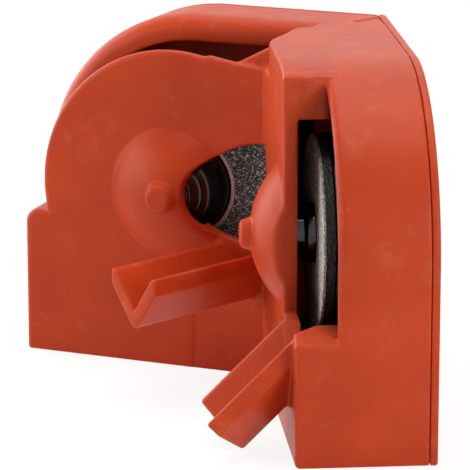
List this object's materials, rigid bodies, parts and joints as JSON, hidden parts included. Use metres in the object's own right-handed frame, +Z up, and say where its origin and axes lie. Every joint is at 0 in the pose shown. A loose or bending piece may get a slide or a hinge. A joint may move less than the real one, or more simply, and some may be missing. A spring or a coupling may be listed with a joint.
{
  "type": "drill bit sharpener",
  "caption": "Tabletop drill bit sharpener: a moulded casing holds coarse and fine abrasive wheels on spindles that a power drill turns, with V grooves that guide the bits to them.",
  "frame": {"origin": "on the bench under the right drum's axle, halfway along that drum", "axes": "+Z up, +X along the right drum's axle towards its cover, +Y from the guide side towards the back"},
  "size_m": [0.0984, 0.1463, 0.093],
  "materials": {
    "casing_plastic": "satin injection-moulded red-orange plastic",
    "cover_plastic": "satin injection-moulded red-orange plastic",
    "hub_plastic": "glossy moulded black",
    "light_grit": "fine pale grey bonded grit",
    "dark_grit": "coarse dark grey bonded grit with bright grains",
    "steel": "turned steel",
    "bronze": "sintered bronze",
    "felt": "pressed grey felt"
  },
  "bodies": {
    "root": {"main_casing": "casing_plastic", "right_cover": "cover_plastic", "rear_cover": "cover_plastic", "right_cover_screw_1": "steel", "right_cover_screw_2": "steel", "right_cover_screw_3": "steel", "right_cover_screw_4": "steel", "rear_cover_screw_1": "steel", "rear_cover_screw_2": "steel", "rear_cover_screw_3": "steel", "rear_cover_screw_4": "steel", "light_nose_bush": "bronze", "light_thrust_washer": "steel", "light_felt_seal": "felt", "light_cover_bush": "bronze", "dark_nose_bush": "bronze", "dark_thrust_washer": "steel", "dark_felt_seal": "felt", "dark_cover_bush": "bronze"},
    "light_wheel": {"light_grit_ring": "light_grit", "light_wheel_hub": "hub_plastic", "light_spindle": "steel", "light_hub_clip": "steel", "light_hub_pin": "steel"},
    "dark_wheel": {"dark_grit_ring": "dark_grit", "dark_wheel_hub": "hub_plastic", "dark_spindle": "steel", "dark_hub_clip": "steel", "dark_hub_pin": "steel"}
  },
  "joints": [
    {"name": "light_wheel_spin", "type": "hinge", "parent": "root", "child": "light_wheel", "pos_m": [0, 0, 0.048], "axis": [1, 0, 0], "continuous": true},
    {"name": "dark_wheel_spin", "type": "hinge", "parent": "root", "child": "dark_wheel", "pos_m": [-0.04116, 0.04708, 0.048], "axis": [0.4695, 0.8829, 0], "continuous": true}
  ]
}
